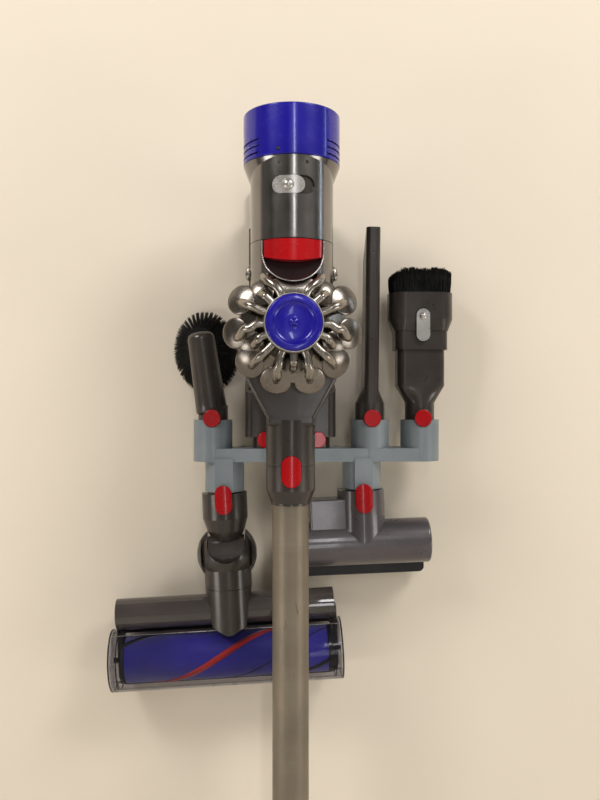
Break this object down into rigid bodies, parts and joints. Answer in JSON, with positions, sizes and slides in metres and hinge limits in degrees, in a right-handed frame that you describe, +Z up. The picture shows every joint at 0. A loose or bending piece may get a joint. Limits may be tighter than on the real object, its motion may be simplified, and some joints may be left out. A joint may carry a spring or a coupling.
{
  "type": "cordless stick vacuum",
  "caption": "Cordless stick vacuum hung on a wall dock: cyclone pack and clear bin over a long wand, with a tool rail holding a floor head and hand tools.",
  "frame": {"origin": "on the wall at the centre of the dock's four screw holes", "axes": "+Z up, +Y into the wall, so the machine stands out along -Y and +X is to the right as one faces it"},
  "size_m": [0.3813, 0.228, 1.1054],
  "materials": {
    "silver_casing": "metallic gloss",
    "violet_gloss": "gloss",
    "red_gloss": "gloss",
    "pewter_metallic": "metallic gloss",
    "dark_grey": "satin",
    "head_grey": "metallic gloss",
    "wand_metal": "satin metallic",
    "rail_grey": "matte",
    "dock_grey": "satin",
    "bristle_black": "bristles",
    "clear_plastic": "clear",
    "smoke_plastic": "smoked clear",
    "recess_maroon": "smoked gloss",
    "slider_silver": "satin metallic",
    "filter_cloth": "pleated cloth",
    "rubber_black": "matte",
    "steel": "brushed",
    "impeller_plastic": "satin",
    "cell_wrap": "satin",
    "board_green": "satin",
    "roller_violet": "satin",
    "roller_black": "satin"
  },
  "bodies": {
    "wall_mount": {"dock_plate": "dock_grey", "dock_cradle": "dock_grey", "tool_rail": "rail_grey"},
    "vacuum": {"motor_casing": "silver_casing", "lower_casing": "silver_casing", "motor_stator": "steel", "control_board": "board_green", "inlet_neck": "dark_grey", "clear_bin": "clear_plastic", "handle_left": "dark_grey", "handle_right": "dark_grey", "battery_case": "dark_grey", "battery_cells": "cell_wrap", "battery_screws": "steel"},
    "impeller": {"motor_impeller": "impeller_plastic"},
    "trigger": {"trigger": "red_gloss"},
    "post_filter": {"post_filter_cap": "violet_gloss", "post_filter_media": "filter_cloth"},
    "power_slider": {"power_slider": "slider_silver"},
    "bin_door": {"bin_door": "clear_plastic", "bin_door_seal": "rubber_black"},
    "cyclone_pack": {"cyclone_cover": "pewter_metallic", "cyclone_cones": "pewter_metallic", "shroud_mesh": "steel", "shroud_wiper": "rubber_black", "lever_recess": "recess_maroon"},
    "eject_lever": {"eject_lever": "red_gloss"},
    "pre_filter": {"filter_lid": "violet_gloss", "filter_sleeve": "filter_cloth"},
    "wand": {"wand_tube": "wand_metal", "wand_collar": "dark_grey", "wand_foot": "dark_grey"},
    "wand_button": {"wand_button": "red_gloss"},
    "dusting_brush": {"dusting_brush_body": "dark_grey", "dusting_brush_bristles": "bristle_black"},
    "dusting_button": {"dusting_brush_button": "red_gloss"},
    "stair_tool": {"stair_tool_body": "dark_grey"},
    "stair_button": {"stair_tool_button": "red_gloss"},
    "upholstery_tool": {"upholstery_tool_body": "dark_grey"},
    "upholstery_button": {"upholstery_tool_button": "red_gloss"},
    "crevice": {"crevice_tool": "dark_grey"},
    "crevice_button": {"crevice_tool_button": "red_gloss"},
    "combi_tool": {"combi_nozzle": "dark_grey"},
    "combi_sleeve": {"combi_brush_sleeve": "dark_grey", "combi_bristles": "bristle_black"},
    "combi_catch": {"combi_catch": "slider_silver"},
    "combi_button": {"combi_button": "red_gloss"},
    "mini_head": {"mini_head_housing": "head_grey", "mini_head_sole": "dark_grey"},
    "mini_brush": {"mini_brush_bar": "roller_black"},
    "mini_button": {"mini_head_button": "red_gloss"},
    "floor_cuff": {"head_cuff": "dark_grey", "head_ball": "smoke_plastic"},
    "floor_button": {"head_button": "red_gloss"},
    "floor_yoke": {"head_yoke": "dark_grey"},
    "floor_head": {"head_tongue": "dark_grey", "head_rear_tube": "smoke_plastic", "head_housing": "dark_grey", "head_window": "clear_plastic"},
    "floor_brush": {"head_brush_bar": "roller_violet"}
  },
  "joints": [
    {"name": "vacuum_lift", "type": "slide", "parent": "wall_mount", "child": "vacuum", "axis": [0, 0, 1], "range_m": [0, 0.062]},
    {"name": "impeller_spin", "type": "hinge", "parent": "vacuum", "child": "impeller", "pos_m": [0, -0.167, 0], "axis": [0, 0, 1], "continuous": true},
    {"name": "trigger_pull", "type": "hinge", "parent": "vacuum", "child": "trigger", "pos_m": [0, -0.118, -0.014], "axis": [1, 0, 0], "range_deg": [0, 10], "stiffness_Nm_per_rad": 0.3},
    {"name": "post_filter_twist", "type": "hinge", "parent": "vacuum", "child": "post_filter", "pos_m": [0, -0.16, 0.07], "axis": [0, 0, 1], "range_deg": [0, 34]},
    {"name": "power_slide", "type": "hinge", "parent": "vacuum", "child": "power_slider", "pos_m": [0, -0.167, 0.019], "axis": [0, 0, 1], "range_deg": [0, 13]},
    {"name": "bin_door_swing", "type": "hinge", "parent": "vacuum", "child": "bin_door", "pos_m": [0, -0.066, -0.167], "axis": [-1, 0, 0], "range_deg": [0, 65]},
    {"name": "cyclone_lift", "type": "slide", "parent": "vacuum", "child": "cyclone_pack", "axis": [0, -1, 0], "range_m": [0, 0.055]},
    {"name": "lever_pull", "type": "slide", "parent": "cyclone_pack", "child": "eject_lever", "axis": [0, -1, 0], "range_m": [0, 0.008]},
    {"name": "pre_filter_pull", "type": "slide", "parent": "cyclone_pack", "child": "pre_filter", "axis": [0, -1, 0], "range_m": [0, 0.09]},
    {"name": "wand_release", "type": "slide", "parent": "vacuum", "child": "wand", "axis": [0, 0, -1], "range_m": [0, 0.03]},
    {"name": "wand_button_press", "type": "slide", "parent": "wand", "child": "wand_button", "axis": [0, 1, 0], "range_m": [0, 0.0015], "stiffness_N_per_m": 600},
    {"name": "dusting_brush_lift", "type": "slide", "parent": "wall_mount", "child": "dusting_brush", "axis": [0, 0, 1], "range_m": [0, 0.045]},
    {"name": "dusting_button_press", "type": "slide", "parent": "dusting_brush", "child": "dusting_button", "axis": [0, 1, 0], "range_m": [0, 0.0012], "stiffness_N_per_m": 600},
    {"name": "stair_tool_lift", "type": "slide", "parent": "wall_mount", "child": "stair_tool", "axis": [0, 0, 1], "range_m": [0, 0.03]},
    {"name": "stair_button_press", "type": "slide", "parent": "stair_tool", "child": "stair_button", "axis": [0, 1, 0], "range_m": [0, 0.0012], "stiffness_N_per_m": 600},
    {"name": "upholstery_tool_lift", "type": "slide", "parent": "wall_mount", "child": "upholstery_tool", "axis": [0, 0, 1], "range_m": [0, 0.03]},
    {"name": "upholstery_button_press", "type": "slide", "parent": "upholstery_tool", "child": "upholstery_button", "axis": [0, 1, 0], "range_m": [0, 0.0012], "stiffness_N_per_m": 600},
    {"name": "crevice_tool_lift", "type": "slide", "parent": "wall_mount", "child": "crevice", "axis": [0, 0, 1], "range_m": [0, 0.045]},
    {"name": "crevice_button_press", "type": "slide", "parent": "crevice", "child": "crevice_button", "axis": [0, 1, 0], "range_m": [0, 0.0012], "stiffness_N_per_m": 600},
    {"name": "combi_tool_lift", "type": "slide", "parent": "wall_mount", "child": "combi_tool", "axis": [0, 0, 1], "range_m": [0, 0.045]},
    {"name": "combi_sleeve_retract", "type": "slide", "parent": "combi_tool", "child": "combi_sleeve", "axis": [0, 0, -1], "range_m": [0, 0.036]},
    {"name": "combi_catch_press", "type": "slide", "parent": "combi_sleeve", "child": "combi_catch", "axis": [0, 1, 0], "range_m": [0, 0.0015], "stiffness_N_per_m": 600},
    {"name": "combi_button_press", "type": "slide", "parent": "combi_tool", "child": "combi_button", "axis": [0, 1, 0], "range_m": [0, 0.0012], "stiffness_N_per_m": 600},
    {"name": "mini_head_release", "type": "slide", "parent": "wall_mount", "child": "mini_head", "axis": [0, 0, -1], "range_m": [0, 0.021]},
    {"name": "mini_brush_spin", "type": "hinge", "parent": "mini_head", "child": "mini_brush", "pos_m": [0.08078, -0.045, -0.34009], "axis": [0.9994, 0, 0.0349], "continuous": true},
    {"name": "mini_button_press", "type": "slide", "parent": "mini_head", "child": "mini_button", "axis": [0, 1, 0], "range_m": [0, 0.0012], "stiffness_N_per_m": 600},
    {"name": "floor_head_release", "type": "slide", "parent": "wall_mount", "child": "floor_cuff", "axis": [0, 0, -1], "range_m": [0, 0.03]},
    {"name": "floor_button_press", "type": "slide", "parent": "floor_cuff", "child": "floor_button", "axis": [0, 1, 0], "range_m": [0, 0.0012], "stiffness_N_per_m": 600},
    {"name": "neck_tilt", "type": "hinge", "parent": "floor_cuff", "child": "floor_yoke", "pos_m": [-0.06836, -0.045, -0.35094], "axis": [-0.9989, 0, -0.0471], "range_deg": [0, 10]},
    {"name": "head_steer", "type": "hinge", "parent": "floor_yoke", "child": "floor_head", "pos_m": [-0.06663, -0.045, -0.3876], "axis": [-0.0471, 0, 0.9989], "range_deg": [-10, 10]},
    {"name": "brush_spin", "type": "hinge", "parent": "floor_head", "child": "floor_brush", "pos_m": [-0.06773, -0.044, -0.46403], "axis": [0.9989, 0, 0.0471], "continuous": true}
  ]
}
